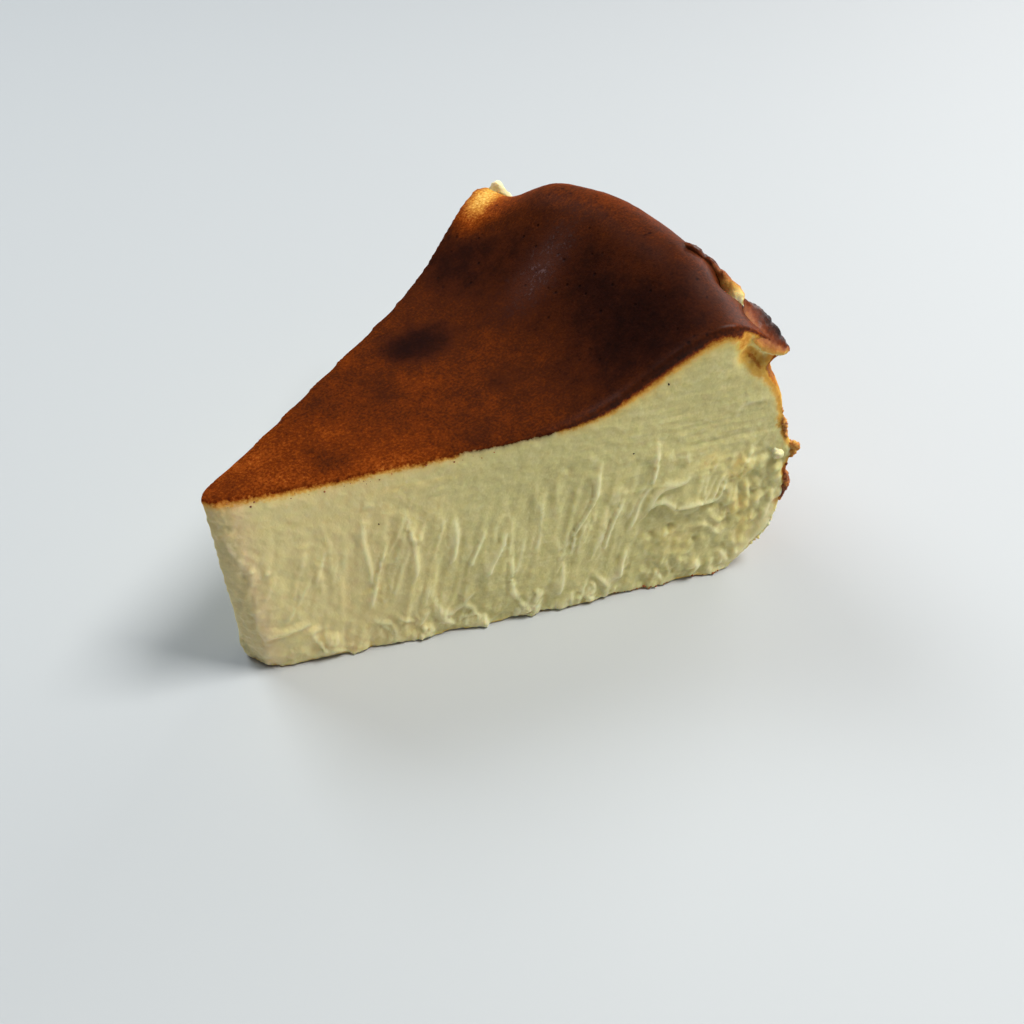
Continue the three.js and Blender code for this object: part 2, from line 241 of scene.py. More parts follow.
# Zones of the front cut. Each pair is where a zone starts to come in or go out, and where it has done so
TORN_LEFT = [(2, 70), (5, 69.5), (12, 70.6), (17, 72.5), (20, 74.4)]  # height, along
TORN_END = (94, 99)
CURDS_ALONG, CURDS_LOW, CURDS_HIGH = (87, 91), (9, 15), (28, 33)
SCRAPE_ALONG, SCRAPE_END, SCRAPE_LOW, SCRAPE_HIGH = (58, 72), (94, 98), (22, 27), (38, 50)
FLAP_ALONG, FLAP_HEIGHT = (87.6, 89.4), (47.5, 49.5)
# A brighter, warmer stretch of the front cut near the tip: painted light
PAINTED_LIGHT_ALONG, PAINTED_LIGHT_END = (2.5, 4.5), (8, 48)
TOE_END = (3, 8)
# The low front corner by the wall, painted brighter, whiter and warmer: painted light
LIT_CORNER_REACH, LIT_CORNER_HIGH = 2.4, (14, 22)
# Where the burnt top shines by its coat: round the crown, along its front edge and in a small patch; the
# front edge and the patch also have painted highlights in their colour
SHEEN_REACH = (80, 91)
EDGE_SHEEN, EDGE_SHEEN_FROM = 1.0, (45, 58)
GLINT_X, GLINT_Y, GLINT_LONGER, GLINT_SIZE = 72.8, 5.5, 1.6, 3.6

# Camera fitted to the photograph, in metres and degrees, its focal length in pixels of a square picture
CAMERA_PLACE = (-0.09237, -0.13081, 0.1519)
CAMERA_PITCH, CAMERA_ROLL = 41.47, -1.84
CAMERA_AHEAD = (0.614, 0.789)
FOCAL_PIXELS, PICTURE_PIXELS = 1100.0, 1024.0
SENSOR = 36.0
# Soft lights: name, place and size in metres, watts, colour
LIGHTS = [
    ("window", (-0.12, 0.75, 0.80), 0.5, 6.0, (0.90, 0.96, 1.0)),
    ("room", (0.95, 0.22, 0.40), 0.6, 3.4, (1.0, 0.96, 0.96)),
    ("ceiling", (0.30, -0.30, 0.75), 0.3, 7.7, (1.0, 0.99, 0.96)),
]
FLOOR_HALF = 3.0  # metres


# Numbers and meshes

def smooth(x, low, high):
    t = np.clip((x - low) / (high - low), 0.0, 1.0)
    return t * t * (3.0 - 2.0 * t)


def bell(x, width):
    return np.exp(-((x / width) ** 2))


def read_off(table, x):
    """Value of a table of (place, value) rows at x."""
    return np.interp(x, *zip(*table))


def along_front(x, y):
    """Distance along the front cut from the tip."""
    return x * math.cos(HALF_ANGLE) - y * math.sin(HALF_ANGLE)


def off_front(x, y):
    """Distance from the front cut, inwards."""
    return x * math.sin(HALF_ANGLE) + y * math.cos(HALF_ANGLE)


def points_of(mesh):
    """Vertices in millimetres from the apex."""
    flat = np.empty(len(mesh.vertices) * 3)
    mesh.vertices.foreach_get("co", flat)
    return flat.reshape(-1, 3) / MM - APEX


def put_points(mesh, points):
    mesh.vertices.foreach_set("co", ((points + APEX) * MM).ravel())
    mesh.update()


def edges_of(mesh):
    flat = np.empty(len(mesh.edges) * 2, dtype=np.int64)
    mesh.edges.foreach_get("vertices", flat)
    return flat.reshape(-1, 2)


def spread(values, edges, rounds, share=0.5):
    """Evens out values over neighbouring vertices."""
    values = np.array(values, dtype=float)
    wide = values.reshape(len(values), -1)
    count = np.bincount(edges.ravel(), minlength=len(wide)).astype(float)
    count[count == 0] = 1.0
    share = np.broadcast_to(np.asarray(share, dtype=float).reshape(-1, 1), (len(wide), 1))
    for _ in range(rounds):
        total = np.zeros_like(wide)
        for column in range(wide.shape[1]):
            total[:, column] = np.bincount(edges[:, 0], wide[edges[:, 1], column], len(wide))
            total[:, column] += np.bincount(edges[:, 1], wide[edges[:, 0], column], len(wide))
        wide = wide + share * (total / count[:, None] - wide)
    return wide.reshape(values.shape)


def put_attribute(mesh, name, values, kind="FLOAT"):
    layer = mesh.attributes.new(name, kind, "POINT")
    field_name = "vector" if kind == "FLOAT_VECTOR" else "value"
    layer.data.foreach_set(field_name, np.ascontiguousarray(values, dtype=np.float32).ravel())


# Node trees

class Wiring:
    """Adds nodes to one tree, of geometry or of a material, and links them."""

    def __init__(self, tree):
        self.tree = tree

    def node(self, kind, feeds=None, **settings):
        node = self.tree.nodes.new(kind)
        for name, value in settings.items():
            setattr(node, name, value)
        for socket, value in (feeds or {}).items():
            self.feed(node.inputs[socket], value)
        return node

    def feed(self, socket, value):
        if isinstance(value, bpy.types.NodeSocket):
            self.tree.links.new(value, socket)
        else:
            socket.default_value = value

    def maths(self, operation, *values):
        return self.node("ShaderNodeMath", dict(enumerate(values)), operation=operation).outputs[0]

    def chain(self, operation, values):
        total = values[0]
        for value in values[1:]:
            total = self.maths(operation, total, value)
        return total

    def add(self, *values):
        return self.chain("ADD", values)

    def times(self, *values):
        return self.chain("MULTIPLY", values)

    def largest(self, *values):
        return self.chain("MAXIMUM", values)

    def minus(self, first, second):
        return self.maths("SUBTRACT", first, second)

    def over(self, first, second):
        return self.maths("DIVIDE", first, second)

    def rest(self, value):
        """What a value leaves of 1."""
        return self.minus(1.0, value)

    def between(self, value, low, high):
        """0 below low, 1 above high and smooth between them."""
        feeds = {"Value": value, "From Min": low, "From Max": high}
        return self.node("ShaderNodeMapRange", feeds, interpolation_type="SMOOTHSTEP").outputs[0]

    def bell(self, distance, width):
        ratio = self.over(distance, width)
        return self.maths("EXPONENT", self.times(ratio, ratio, -1.0))

    def noise(self, place, size, detail=2.0, rough=0.5):
        """Cloudy noise round 0, about -0.5 to 0.5, with features of a size."""
        feeds = {"Vector": place, "Scale": 1.0 / size, "Detail": detail, "Roughness": rough}
        cloud = self.node("ShaderNodeTexNoise", feeds).outputs[0]
        return self.minus(cloud, 0.5)

    def cells(self, place, size):
        """Distance from the middle of the nearest of scattered cells, 0 to about 0.7."""
        feeds = {"Vector": place, "Scale": 1.0 / size}
        return self.node("ShaderNodeTexVoronoi", feeds).outputs["Distance"]

    def vectors(self, operation, first, second):
        return self.node("ShaderNodeVectorMath", {0: first, 1: second}, operation=operation).outputs[0]

    def scaled(self, vector, scale):
        feeds = {0: vector, "Scale": scale}
        return self.node("ShaderNodeVectorMath", feeds, operation="SCALE").outputs[0]

    def stretched(self, place, sizes):
        return self.vectors("MULTIPLY", place, tuple(1.0 / size for size in sizes))

    def joined(self, x, y, z):
        return self.node("ShaderNodeCombineXYZ", {"X": x, "Y": y, "Z": z}).outputs[0]

    def split(self, vector):
        return self.node("ShaderNodeSeparateXYZ", {0: vector}).outputs

    def mixed(self, share, first, second, blend="MIX"):
        """A colour between two; one that is given as three numbers is opaque."""
        if isinstance(second, tuple):
            second = (*second, 1.0)
        feeds = {"Factor": share, 6: first, 7: second}
        return self.node("ShaderNodeMix", feeds, data_type="RGBA", blend_type=blend).outputs[2]

    def marked(self, name, output="Fac"):
        """In a material, what the mesh says under a name."""
        node = self.node("ShaderNodeAttribute", attribute_name=name, attribute_type="GEOMETRY")
        return node.outputs[output]

    def named(self, name, kind="FLOAT"):
        """In a geometry tree, what the mesh says under a name."""
        return self.node("GeometryNodeInputNamedAttribute", {"Name": name}, data_type=kind).outputs[0]

    def inputs(self, *sockets):
        for name, kind, value in sockets:
            socket = self.tree.interface.new_socket(name=name, in_out="INPUT", socket_type=kind)
            if value is not None:
                socket.default_value = value
        return self.node("NodeGroupInput").outputs

    def output(self, name, kind, value):
        self.tree.interface.new_socket(name=name, in_out="OUTPUT", socket_type=kind)
        ends = [node for node in self.tree.nodes if node.bl_idname == "NodeGroupOutput"]
        end = ends[0] if ends else self.node("NodeGroupOutput")
        self.feed(end.inputs[name], value)


def grown(host, tree, values):
    """The mesh that a geometry tree makes on an object, as a plain mesh."""
    modifier = host.modifiers.new(tree.name, "NODES")
    modifier.node_group = tree
    for item in tree.interface.items_tree:
        if item.in_out == "INPUT" and item.name in values:
            modifier[item.identifier] = values[item.name]
    mesh = evaluated(host)
    host.modifiers.remove(modifier)
    return mesh


def evaluated(host):
    graph = bpy.context.evaluated_depsgraph_get()
    shape = host.evaluated_get(graph)
    return bpy.data.meshes.new_from_object(shape, preserve_all_data_layers=True, depsgraph=graph)


def new_object(name, data):
    piece = bpy.data.objects.new(name, data)
    bpy.context.scene.collection.objects.link(piece)
    return piece


# The skin

def solid_skin():
    """A merged copy of the solid's surface."""
    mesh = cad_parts[NODE].data.copy()
    skin = bmesh.new()
    skin.from_mesh(mesh)
    bmesh.ops.remove_doubles(skin, verts=skin.verts, dist=0.001 * MM)
    bmesh.ops.recalc_face_normals(skin, faces=skin.faces)
    skin.to_mesh(mesh)
    skin.free()
    mesh.materials.clear()
    return mesh


FACES = ("top", "front", "back", "wall", "base")


def crust_faces(mesh, corners):
    """Triangles of the burnt top: the largest joined patch of those that look up."""
    high = {f.index for f in mesh.polygons if corners[f.vertices[0]][2] > CRUST_FOOT}
    looks_up = {index for index in high if mesh.polygons[index].normal.z > LOOKS_UP}
    beside = {}
    for index in looks_up:
        for key in mesh.polygons[index].edge_keys:
            beside.setdefault(key, []).append(index)
    largest = set()
    while looks_up:
        patch, open_ends = set(), [looks_up.pop()]
        while open_ends:
            index = open_ends.pop()
            patch.add(index)
            for key in mesh.polygons[index].edge_keys:
                for other in beside[key]:
                    if other in looks_up:
                        looks_up.remove(other)
                        open_ends.append(other)
        largest = max(largest, patch, key=len)
    return largest


def side_kind(centre, normal):
    """Which of the slice's other faces a triangle of the solid belongs to."""
    reach = max(math.hypot(centre[0], centre[1]), 1e-6)
    outward = (normal[0] * centre[0] + normal[1] * centre[1]) / reach
    front = float(np.dot(normal, FRONT_OUT))
    back = float(np.dot(normal, BACK_OUT))
    if normal[2] < -0.8 and centre[2] < 0.5:
        return "base"
    if reach > WALL_FROM and outward > max(front, back):
        return "wall"
    return "front" if front > back else "back"


class SolidFaces:
    """The solid's triangles sorted by face, to measure from."""

    def __init__(self, mesh):
        corners = points_of(mesh)
        groups = {name: [] for name in FACES}
        crust = crust_faces(mesh, corners)
        self.kinds = []
        triangles = []
        for face in mesh.polygons:
            triangle = tuple(face.vertices)
            centre = corners[list(triangle)].mean(axis=0)
            kind = "top" if face.index in crust else side_kind(centre, np.array(face.normal))
            groups[kind].append(triangle)
            self.kinds.append(FACES.index(kind))
            triangles.append(triangle)
        places = [Vector(corner) for corner in corners]
        self.whole = BVHTree.FromPolygons(places, triangles)
        self.trees = {name: BVHTree.FromPolygons(places, group) for name, group in groups.items()}

    def kind_at(self, points):
        return np.array([self.kinds[self.whole.find_nearest(Vector(p))[2]] for p in points])

    def distance(self, points, name):
        tree = self.trees[name]
        return np.array([tree.find_nearest(Vector(p))[3] for p in points])


def even_skin(mesh):
    """The surface in small even faces, turned so that the front cut lies along them."""
    turn = Matrix.Rotation(HALF_ANGLE, 4, "Z")
    mesh.transform(turn)
    host = new_object("even_skin", mesh)
    remesh = host.modifiers.new("even", "REMESH")
    remesh.mode = "VOXEL"
    remesh.voxel_size = SKIN_STEP * MM
    remesh.adaptivity = 0.0
    skin = evaluated(host)
    bpy.data.objects.remove(host)
    skin.transform(turn.inverted())
    return skin


def calm_facets(mesh, faces, rounds=EVENING_ROUNDS):
    """Takes the solid's facets out of the skin, and keeps its edges fairly crisp."""
    points = points_of(mesh)
    edges = edges_of(mesh)
    kinds = faces.kind_at(points)
    near = {name: spread(kinds == i, edges, 5) for i, name in enumerate(FACES)}
    inside = np.max(list(near.values()), axis=0)
    back_edge = 4 * near["top"] * near["back"]
    low_corner = 4 * near["front"] * near["wall"] * (1 - smooth(points[:, 2], 18, 24))
    share = 0.08 + 0.42 * smooth(inside, 0.62, 0.97)
    share = np.maximum(share, 0.4 * np.maximum(back_edge, low_corner))
    points = spread(points, edges, rounds, share)
    points += back_edge[:, None] * (BACK_EDGE_KEPT * BACK_OUT) * rounds / EVENING_ROUNDS
    points[:, 2] = np.maximum(points[:, 2], 0.0)
    put_points(mesh, points)


def finer_front(mesh, faces):
    """Halves the faces of the front cut, where the finest marks are."""
    front = faces.kind_at(points_of(mesh)) == FACES.index("front")
    skin = bmesh.new()
    skin.from_mesh(mesh)
    skin.verts.ensure_lookup_table()
    chosen = {e for f in skin.faces if any(front[v.index] for v in f.verts) for e in f.edges}
    bmesh.ops.subdivide_edges(skin, edges=list(chosen), cuts=1, use_grid_fill=True)
    bmesh.ops.triangulate(skin, faces=[f for f in skin.faces if len(f.verts) > 4])
    skin.to_mesh(mesh)
    skin.free()


def top_burn(x, y):
    """How far the burnt top browned, by place, less along the front edge as a painted highlight."""
    burn = read_off(BURN_BY_REACH, np.hypot(x, y))
    for spot_x, spot_y, size, amount in BURN_SPOTS:
        burn = burn + amount * bell(np.hypot(x - spot_x, y - spot_y), size)
    # Paler along the front edge of the top: a painted highlight where the rounded edge shines.
    return burn - 0.05 * bell(off_front(x, y), 2.2) * smooth(x, *EDGE_SHEEN_FROM)


def clouds(points, size):
    """Soft noise, about -1 to 1."""
    return np.array([field.noise(Vector(point / size)) for point in points])


def mark_skin(mesh, faces):
    """Writes on the skin what the relief and the finish read."""
    points = points_of(mesh)
    edges = edges_of(mesh)
    kinds = faces.kind_at(points)
    mask = {name: spread(kinds == i, edges, 3) for i, name in enumerate(FACES)}
    x, y, z = points.T
    reach = np.hypot(x, y)
    turn = np.arctan2(y, x) + HALF_ANGLE
    degrees = np.degrees(turn)
    at_back = mask["back"] > mask["front"]
    along = np.where(at_back, reach, along_front(x, y))
    side = np.where(at_back, BACK_SIDE, FRONT_SIDE)
    cut = np.maximum(mask["front"], mask["back"])
    front_cut = (side == FRONT_SIDE) * cut
    wobble = clouds(np.stack((along, side + 5.0, z), axis=1), 3.0)

    edge_along, edge_height = np.array(LAYER_EDGE[:8]).T
    upper = np.interp(along, edge_along, edge_height, right=25.0) + 0.5 * wobble * smooth(along, 88, 90)
    left = read_off(TORN_LEFT, z) + 1.5 * wobble
    torn = smooth(along - left, -0.6, 0.9) * (1 - smooth(along, *TORN_END))
    torn = torn * smooth(z, 0, 3) * (1 - smooth(z - upper, -0.7, 0.1))
    curds = smooth(along + 2 * wobble, *CURDS_ALONG) * smooth(z, *CURDS_LOW)
    curds = curds * (1 - smooth(z + 2 * wobble, *CURDS_HIGH))
    scrape = smooth(along, *SCRAPE_ALONG) * (1 - smooth(along, *SCRAPE_END))
    scrape = scrape * smooth(z, *SCRAPE_LOW) * (1 - smooth(z, *SCRAPE_HIGH))
    flap = smooth(along + wobble, *FLAP_ALONG) * smooth(z + wobble, *FLAP_HEIGHT) * mask["front"]
    pits = np.zeros_like(z)
    for s, h, size, depth in CUT_PITS:
        pits = pits + depth * bell(np.hypot(along - s, z - h), size) * front_cut
    tear_turn, tear_reach, tear_size, tear_depth = CROWN_TEAR
    from_tear = np.hypot((degrees - tear_turn) * math.radians(tear_reach), reach - tear_reach)
    pits = pits + tear_depth * bell(from_tear, tear_size) * smooth(z, 48, 53)
    bakes = np.zeros_like(z)
    for s, h, wide, tall, level in CUT_BAKES:
        patch = bell(np.hypot((along - s) / wide, (z - h) / tall) + 0.25 * wobble, 1.0)
        bakes = np.maximum(bakes, level * np.clip(1.6 * patch, 0, 1) * front_cut)

    corner_skin = read_off(CORNER_SKIN, z + 1.2 * wobble)
    streaks = clouds(np.stack((turn * 100, np.full_like(z, 7.0), z * 0.2), axis=1), 3.6)
    wall_skin = 0.34 + 0.12 * clouds(points, 11.0) + 0.15 * streaks
    wall_skin = wall_skin + 0.26 * smooth(z, 34, 56) - 0.10 * (1 - smooth(z, 2, 12))
    rim = faces.distance(points, "wall")
    pushed_out = BACK_EDGE_KEPT * 4 * mask["top"] * mask["back"]
    crown_line = smooth(reach, *SHEEN_REACH) * (0.6 + 0.4 * smooth(-y, -5, 25))
    edge_line = bell(off_front(x, y), EDGE_SHEEN) * smooth(x, *EDGE_SHEEN_FROM)
    on_wall = mask["wall"] * smooth(degrees, 2, 9)
    marks = {
        "deep": np.maximum(faces.distance(points, "top") - pushed_out, 0),
        "rim": rim,
        # painted light: the low front corner by the wall is made brighter, whiter and warmer
        "corner": bell(rim, LIT_CORNER_REACH) * (1 - smooth(z + wobble, *LIT_CORNER_HIGH)) * mask["front"],
        "burn": top_burn(x, y),
        "sheen": np.maximum(crown_line, 0.5 * edge_line),
        "glint": bell(np.hypot((x - GLINT_X) / GLINT_LONGER, y - GLINT_Y), GLINT_SIZE),
        "bakes": bakes,
        "skin": corner_skin + (wall_skin - corner_skin) * smooth(degrees, 1.5, 6.0),
        "skin_width": read_off(SKIN_WIDTH, z),
        "thick": read_off(CRUST_THICKNESS, reach) * (1 - 0.9 * flap) + 5.0 * on_wall,
        "bleed": read_off(CRUST_BLEED, along),
        "brink": 4 * mask["top"] * (mask["front"] + 0.3 * mask["back"]),
        # the toe is rougher, and its colour gets a lilac-grey tint that is painted shade
        "toe": (1 - smooth(reach, *TOE_END)) * (1 - mask["top"]),
        # painted light: a brighter, warmer stretch of the front cut near the tip
        "pale": (1 - smooth(along, *PAINTED_LIGHT_END)) * smooth(along, *PAINTED_LIGHT_ALONG) * mask["front"],
        "cut": cut,
        "wall": mask["wall"],
        "crust": mask["top"],
        "base": mask["base"],
        "torn": np.maximum(torn, flap),
        "scrape": scrape,
        "curds": curds,
        "pits": pits,
        "arc": turn * 100.0,
    }
    for name, values in marks.items():
        put_attribute(mesh, name, values)
    put_attribute(mesh, "cut_place", np.stack((along, side, z), axis=1), "FLOAT_VECTOR")


# Knife marks and relief

def drawn(points, steps=8):
    """A smooth line through points, with as many steps between each two."""
    points = [np.array(p, dtype=float) for p in points]
    ends = [2 * points[0] - points[1]] + points + [2 * points[-1] - points[-2]]
    line = []
    for a, b, c, d in zip(ends, ends[1:], ends[2:], ends[3:]):
        for t in np.arange(steps) / steps:
            square, cube = 2 * a - 5 * b + 4 * c - d, 3 * b - a - 3 * c + d
            line.append(0.5 * (2 * b + (c - a) * t + square * t**2 + cube * t**3))
    return line + [points[-1]]


def free_strokes(draw, count, low, high, leans, strength):
    """Ridges at random places, of the same kinds as the listed ones."""
    strokes = []
    for _ in range(count):
        along, foot = draw.uniform(9, 92), draw.uniform(*low)
        tall, lean, bow = draw.uniform(*high), draw.uniform(*leans), draw.uniform(-0.7, 0.7)
        middle = (along + 0.5 * lean * tall + bow, foot + 0.5 * tall)
        strokes.append((draw.uniform(*strength), (along + lean * tall, foot + tall), middle, (along, foot)))
    return strokes


def stroke_object():
    """A wire for each ridge, laid out flat by its place on the cut."""
    wire = bmesh.new()
    weight = wire.verts.layers.float.new("weight")
    drop = wire.verts.layers.float_vector.new("drop")

    def lay(points, strength, side, drops_to, even=False):
        line = drawn(points)
        before = None
        for i, (s, z) in enumerate(line):
            share = i / (len(line) - 1)
            run = line[min(i + 1, len(line) - 1)] - line[max(i - 1, 0)]
            across = np.array((run[1], -run[0])) / max(np.linalg.norm(run), 1e-6)
            if np.dot(across, drops_to) < 0:
                across = -across
            corner = wire.verts.new((s, side, z))
            taper = smooth(share, 0.0, 0.08) if even else smooth(share, -0.1, 0.4)
            corner[weight] = strength * taper * (1 - 0.7 * smooth(share, 0.88, 1.0))
            corner[drop] = (across[0], 0, across[1])
            if before is not None:
                wire.edges.new((before, corner))
            before = corner

    draw = random.Random(STROKE_SEED)
    long_ones = free_strokes(draw, 54, (8, 24), (5, 14), (0.0, 0.45), (0.15, 0.55))
    foot_ones = free_strokes(draw, 44, (0, 4), (1.5, 5), (-0.7, 0.9), (0.4, 1.0))
    for strength, *points in FRONT_STROKES + long_ones + foot_ones:
        lay(points, strength, FRONT_SIDE, (1.0, -0.4))
    lay(LAYER_EDGE, 1.2, FRONT_SIDE, (0.3, -1.0), even=True)
    lay(TIP_EDGE, 0.5, FRONT_SIDE, (-1.0, 0.0), even=True)
    for strength, *points in free_strokes(draw, 62, (1, 19), (4, 13), (-0.1, 0.4), (0.3, 1.2)) + foot_ones:
        lay(points, strength, BACK_SIDE, (1.0, -0.4))
    mesh = bpy.data.meshes.new("strokes")
    wire.to_mesh(mesh)
    wire.free()
    return new_object("strokes", mesh)


def relief_tree():
    """Pushes the skin out and in by what was marked on it, in millimetres."""
    tree = bpy.data.node_groups.new("cut_and_crust_relief", "GeometryNodeTree")
    w = Wiring(tree)
    given = w.inputs(
        ("Geometry", "NodeSocketGeometry", None),
        ("Strokes", "NodeSocketObject", None),
        ("Ridge Height", "NodeSocketFloat", 0.5),
        ("Ridge Width", "NodeSocketFloat", 0.45),
        ("Ridge Ramp", "NodeSocketFloat", 1.2),
        ("Ripple Depth", "NodeSocketFloat", 0.4),
        ("Curdle Depth", "NodeSocketFloat", 0.36),
        ("Smear Depth", "NodeSocketFloat", 1.2),
        ("Foot Wave", "NodeSocketFloat", 1.6),
        ("Torn Depth", "NodeSocketFloat", 0.25),
        ("Torn Roughness", "NodeSocketFloat", 1.0),
        ("Curd Height", "NodeSocketFloat", 1.1),
        ("Toe Roughness", "NodeSocketFloat", 0.9),
        ("Ragged Edge", "NodeSocketFloat", 0.5),
        ("Scrape Depth", "NodeSocketFloat", 0.55),
        ("Wrinkle Depth", "NodeSocketFloat", 3.0),
        ("Skin Roughness", "NodeSocketFloat", 0.7),
        ("Crust Unevenness", "NodeSocketFloat", 0.35),
        ("Seed", "NodeSocketFloat", 3.0),
        ("Material", "NodeSocketMaterial", None),
    )

    place = w.named("cut_place", "FLOAT_VECTOR")
    moved = w.vectors("ADD", place, given["Seed"])
    parts = w.split(place)
    height = parts["Z"]
    feeds = {"Object": given["Strokes"]}
    strokes = w.node("GeometryNodeObjectInfo", feeds, transform_space="ORIGINAL").outputs["Geometry"]
    feeds = {"Geometry": strokes, "Sample Position": place}
    closest = w.node("GeometryNodeProximity", feeds, target_element="EDGES").outputs
    near = closest["Distance"]
    index = w.node("GeometryNodeSampleNearest", feeds, domain="POINT").outputs[0]

    def from_stroke(name, kind):
        feeds = {"Geometry": strokes, "Value": w.named(name, kind), "Index": index}
        return w.node("GeometryNodeSampleIndex", feeds, data_type=kind, domain="POINT").outputs[0]

    away = w.vectors("SUBTRACT", place, closest["Position"])
    feeds = {0: away, 1: from_stroke("drop", "FLOAT_VECTOR")}
    beyond = w.node("ShaderNodeVectorMath", feeds, operation="DOT_PRODUCT").outputs["Value"]
    dropped = w.between(beyond, -0.1, 0.1)
    steep = w.bell(near, given["Ridge Width"])
    gentle = w.maths("EXPONENT", w.over(near, w.times(given["Ridge Ramp"], -1.0)))
    profile = w.add(gentle, w.times(dropped, w.minus(steep, gentle)))
    weight = from_stroke("weight", "FLOAT")
    ridge = w.times(profile, weight, given["Ridge Height"])
    crest = w.times(w.bell(near, 0.42), weight)

    slanted = w.joined(w.add(parts["X"], w.times(height, -0.22)), parts["Y"], height)
    low = w.rest(w.between(height, 24.0, 38.0))
    wave = w.maths("ABSOLUTE", w.noise(w.stretched(slanted, (3.4, 1.0, 14.0)), 1.0, 1.5, 0.4))
    furrow = w.minus(0.5, w.between(wave, 0.0, 0.2))
    some = w.between(w.noise(moved, 9.0, 1.0), -0.15, 0.2)
    ripple = w.times(furrow, given["Ripple Depth"], low, w.add(0.25, w.times(some, 0.75)))
    lumpy = w.times(w.noise(moved, 1.8, 2.0, 0.5), given["Curdle Depth"])
    foot = w.rest(w.between(height, 2.0, 9.0))
    scallop = w.minus(0.45, w.cells(w.stretched(slanted, (3.4, 1.0, 6.0)), 1.0))
    smear = w.times(w.add(scallop, w.noise(moved, 3.0, 2.0)), given["Smear Depth"], foot)
    waves = w.noise(w.stretched(moved, (1.0, 1.0, 3.0)), 2.6, 2.0, 0.6)
    hem = w.times(waves, given["Foot Wave"], w.rest(w.between(height, 0.5, 4.0)))
    rough = w.add(w.noise(moved, 2.4, 3.0, 0.6), w.times(w.cells(moved, 3.0), -0.5), 0.2)
    torn = w.minus(w.times(rough, given["Torn Roughness"]), given["Torn Depth"])
    torn = w.times(torn, w.named("torn"))
    bends = w.node("ShaderNodeTexNoise", {"Vector": moved, "Scale": 0.4}).outputs["Color"]
    bent = w.vectors("ADD", moved, bends)
    lumps = w.minus(0.42, w.cells(w.stretched(bent, (2.0, 1.0, 3.0)), 1.0))
    lumps = w.add(lumps, w.noise(moved, 1.6, 3.0, 0.6))
    curds = w.times(lumps, given["Curd Height"], w.named("curds"))
    scratches = w.noise(w.stretched(moved, (16.0, 1.0, 1.3)), 1.0, 2.0)
    scrape = w.times(scratches, given["Scrape Depth"], w.named("scrape"))
    on_cut = w.add(ridge, ripple, lumpy, smear, hem, torn, scrape, curds)

    position = w.node("GeometryNodeInputPosition").outputs[0]
    in_mm = w.scaled(position, 1.0 / MM)
    arc = w.joined(w.named("arc"), given["Seed"], height)
    crease = w.maths("ABSOLUTE", w.noise(w.stretched(arc, (6.0, 1.0, 45.0)), 1.0, 2.0))
    wrinkle = w.times(w.minus(0.12, crease), given["Wrinkle Depth"])
    grit = w.times(w.noise(in_mm, 2.2, 4.0, 0.65), given["Skin Roughness"])
    on_wall = w.add(wrinkle, grit)
    uneven = w.add(w.noise(in_mm, 7.0, 3.0), w.times(w.noise(in_mm, 1.8, 2.0), 0.35))
    on_crust = w.times(uneven, given["Crust Unevenness"])

    chips = w.noise(in_mm, 1.4, 3.0, 0.65)
    frayed = w.times(w.named("brink"), given["Ragged Edge"])
    frayed = w.times(chips, w.add(frayed, w.times(w.named("toe"), given["Toe Roughness"])))
    cut = w.named("cut")
    raised = w.add(w.times(cut, on_cut), w.times(w.named("wall"), on_wall))
    raised = w.add(raised, w.times(w.named("crust"), on_crust), frayed)
    raised = w.minus(raised, w.named("pits"))
    normal = w.node("GeometryNodeInputNormal").outputs[0]
    feeds = {"Value": normal, "Iterations": 6}
    even = w.node("GeometryNodeBlurAttribute", feeds, data_type="FLOAT_VECTOR").outputs[0]
    feeds = {"Geometry": given["Geometry"], "Offset": w.scaled(even, w.times(raised, MM))}
    shifted = w.node("GeometryNodeSetPosition", feeds).outputs[0]
    x, y, z = w.split(position)
    feeds = {"Geometry": shifted, "Position": w.joined(x, y, w.largest(z, 0.0))}
    standing = w.node("GeometryNodeSetPosition", feeds).outputs[0]
    # The relief of the cuts, kept for the finish, which colours its crests lighter and troughs darker: partly
    # paler smeared custard, partly painted highlight and shade.
    crested = w.times(cut, w.add(w.largest(on_cut, -0.15), w.times(crest, 0.5)))
    feeds = {"Geometry": standing, "Name": "ridge", "Value": crested}
    noted = w.node("GeometryNodeStoreNamedAttribute", feeds, data_type="FLOAT", domain="POINT").outputs[0]
    real = w.node("GeometryNodeRealizeInstances", {"Geometry": noted}).outputs[0]
    done = w.node("GeometryNodeSetMaterial", {"Geometry": real, "Material": given["Material"]}).outputs[0]
    w.output("Geometry", "NodeSocketGeometry", done)
    return tree


# Finishes

def browning_group():
    """Colour of the custard by how far it browned, from cream to black."""
    tree = bpy.data.node_groups.new("browning", "ShaderNodeTree")
    w = Wiring(tree)
    given = w.inputs(("Level", "NodeSocketFloat", 0.0))
    ramp = w.node("ShaderNodeValToRGB", {"Fac": given["Level"]})
    stops = [
        (0.00, (0.745, 0.662, 0.300)),
        (0.10, (0.80, 0.64, 0.25)),
        (0.22, (0.78, 0.46, 0.10)),
        (0.36, (0.52, 0.20, 0.030)),
        (0.50, (0.26, 0.055, 0.0070)),
        (0.62, (0.135, 0.0240, 0.0036)),
        (0.76, (0.060, 0.0130, 0.0040)),
        (0.90, (0.024, 0.0066, 0.0038)),
        (1.00, (0.012, 0.0044, 0.0034)),
    ]
    elements = ramp.color_ramp.elements
    while len(elements) < len(stops):
        elements.new(0.5)
    for element, (place, colour) in zip(elements, stops):
        element.position = place
        element.color = (*colour, 1.0)
    w.output("Colour", "NodeSocketColor", ramp.outputs["Color"])
    return tree


